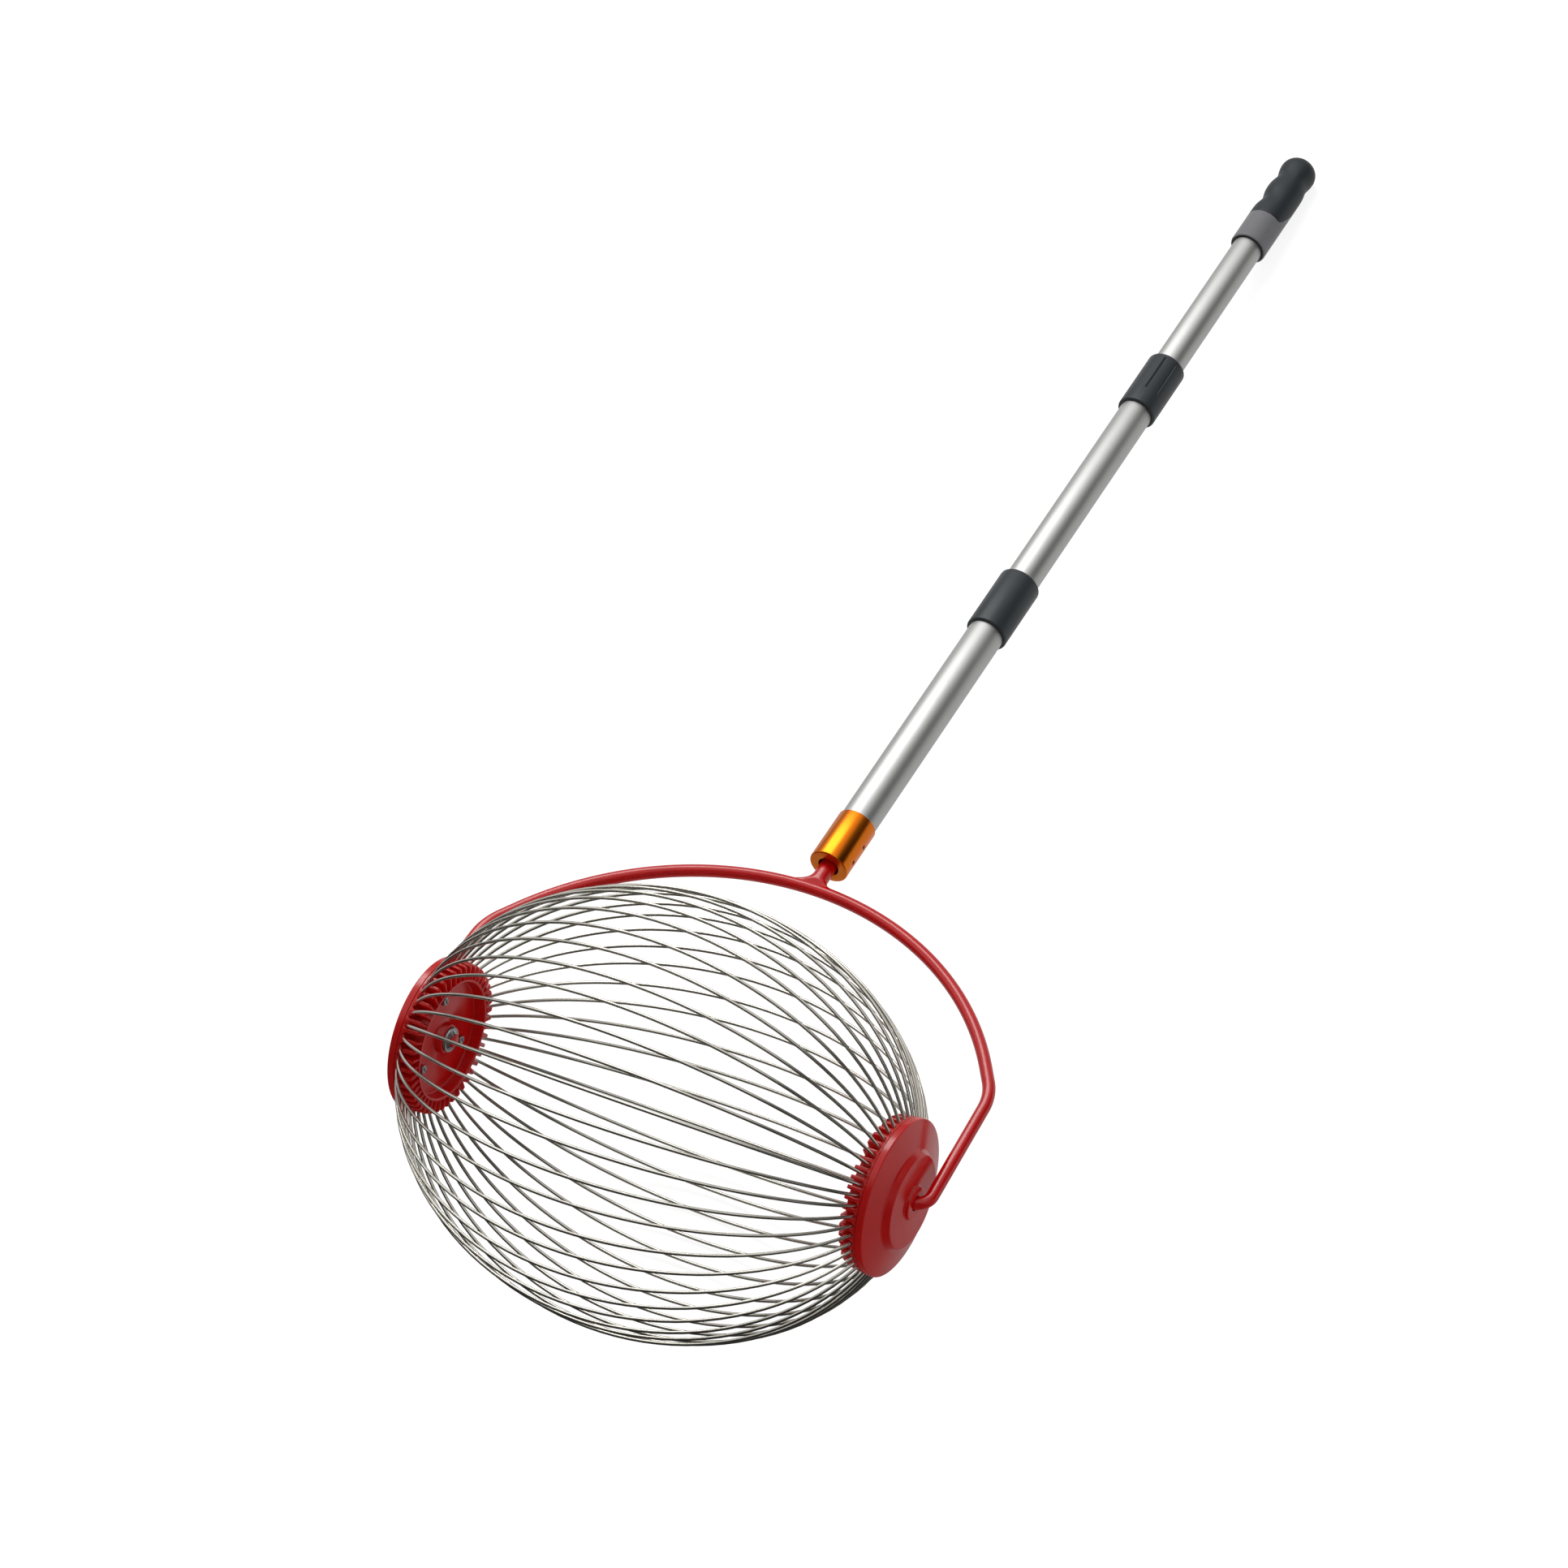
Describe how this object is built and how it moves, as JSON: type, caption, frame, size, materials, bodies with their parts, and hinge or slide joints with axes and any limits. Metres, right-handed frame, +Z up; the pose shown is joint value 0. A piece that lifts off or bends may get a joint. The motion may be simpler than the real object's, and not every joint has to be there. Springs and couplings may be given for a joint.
{
  "type": "tennis ball collector",
  "caption": "Rolling tennis ball collector: a barrel cage of bowed spring wires on toothed hubs turns in a bent rod yoke, on a telescopic pole with twist locks and a finger grip.",
  "frame": {"origin": "on the floor, under the middle of the collector as it lies with the cage's belly and the grip's butt on the floor", "axes": "+X along the cage's axle, +Y from the cage towards the grip, +Z up"},
  "size_m": [0.35, 0.9923, 0.2574],
  "materials": {
    "spring_steel": "drawn spring wire, bright",
    "red_plastic": "moulded, glossy red",
    "red_enamel": "glossy red powder coat",
    "orange_anodised": "turned, orange anodised",
    "satin_aluminium": "satin drawn tube",
    "slate_plastic": "moulded, satin slate grey",
    "black_plastic": "moulded, satin black",
    "grey_plastic": "moulded, satin grey",
    "black_rubber": "soft matt rubber",
    "pale_nylon": "moulded nylon",
    "zinc_steel": "zinc plated"
  },
  "bodies": {
    "yoke_and_lower_pole": {"yoke_rod": "red_enamel", "yoke_stub": "red_enamel", "right_axle_retainer": "zinc_steel", "left_axle_retainer": "zinc_steel", "ferrule": "orange_anodised", "pole_plug": "black_plastic", "clamp_screw_1": "zinc_steel", "clamp_screw_2": "zinc_steel", "lower_tube": "satin_aluminium", "lower_lock_collet": "pale_nylon"},
    "cage": {"cage_wire_pair_01": "spring_steel", "cage_wire_pair_02": "spring_steel", "cage_wire_pair_03": "spring_steel", "cage_wire_pair_04": "spring_steel", "cage_wire_pair_05": "spring_steel", "cage_wire_pair_06": "spring_steel", "cage_wire_pair_07": "spring_steel", "cage_wire_pair_08": "spring_steel", "cage_wire_pair_09": "spring_steel", "cage_wire_pair_10": "spring_steel", "cage_wire_pair_11": "spring_steel", "cage_wire_pair_12": "spring_steel", "cage_wire_pair_13": "spring_steel", "cage_wire_pair_14": "spring_steel", "cage_wire_pair_15": "spring_steel", "cage_wire_pair_16": "spring_steel", "cage_wire_pair_17": "spring_steel", "cage_wire_pair_18": "spring_steel", "cage_wire_pair_19": "spring_steel", "cage_wire_pair_20": "spring_steel", "cage_wire_pair_21": "spring_steel", "cage_wire_pair_22": "spring_steel", "cage_wire_pair_23": "spring_steel", "cage_wire_pair_24": "spring_steel", "right_hub_crown": "red_plastic", "right_hub_cover": "red_plastic", "right_axle_bush": "pale_nylon", "right_hub_screw_1": "zinc_steel", "right_hub_screw_2": "zinc_steel", "right_hub_screw_3": "zinc_steel", "left_hub_crown": "red_plastic", "left_hub_cover": "red_plastic", "left_axle_bush": "pale_nylon", "left_hub_screw_1": "zinc_steel", "left_hub_screw_2": "zinc_steel", "left_hub_screw_3": "zinc_steel"},
    "lower_lock": {"lower_lock_collar": "slate_plastic"},
    "middle_pole": {"middle_tube": "satin_aluminium", "middle_glide": "black_plastic", "upper_lock_collet": "pale_nylon"},
    "upper_lock": {"upper_lock_collar": "slate_plastic"},
    "upper_pole": {"upper_tube": "satin_aluminium", "upper_glide": "black_plastic", "grip_ring": "grey_plastic", "grip": "black_rubber", "grip_end_plug": "black_plastic"}
  },
  "joints": [
    {"name": "cage_roll", "type": "hinge", "parent": "yoke_and_lower_pole", "child": "cage", "pos_m": [0, -0.36698, 0.12873], "axis": [1, 0, 0], "continuous": true},
    {"name": "lower_lock_turn", "type": "hinge", "parent": "yoke_and_lower_pole", "child": "lower_lock", "pos_m": [0, 0.06202, 0.07002], "axis": [0, 0.9908, -0.1356], "range_deg": [0, 90]},
    {"name": "middle_pole_slide", "type": "slide", "parent": "yoke_and_lower_pole", "child": "middle_pole", "axis": [0, 0.9908, -0.1356], "range_m": [-0.16, 0]},
    {"name": "upper_lock_turn", "type": "hinge", "parent": "middle_pole", "child": "upper_lock", "pos_m": [0, 0.26835, 0.04178], "axis": [0, 0.9908, -0.1356], "range_deg": [0, 90]},
    {"name": "upper_pole_slide", "type": "slide", "parent": "middle_pole", "child": "upper_pole", "axis": [0, 0.9908, -0.1356], "range_m": [-0.118, 0]}
  ]
}
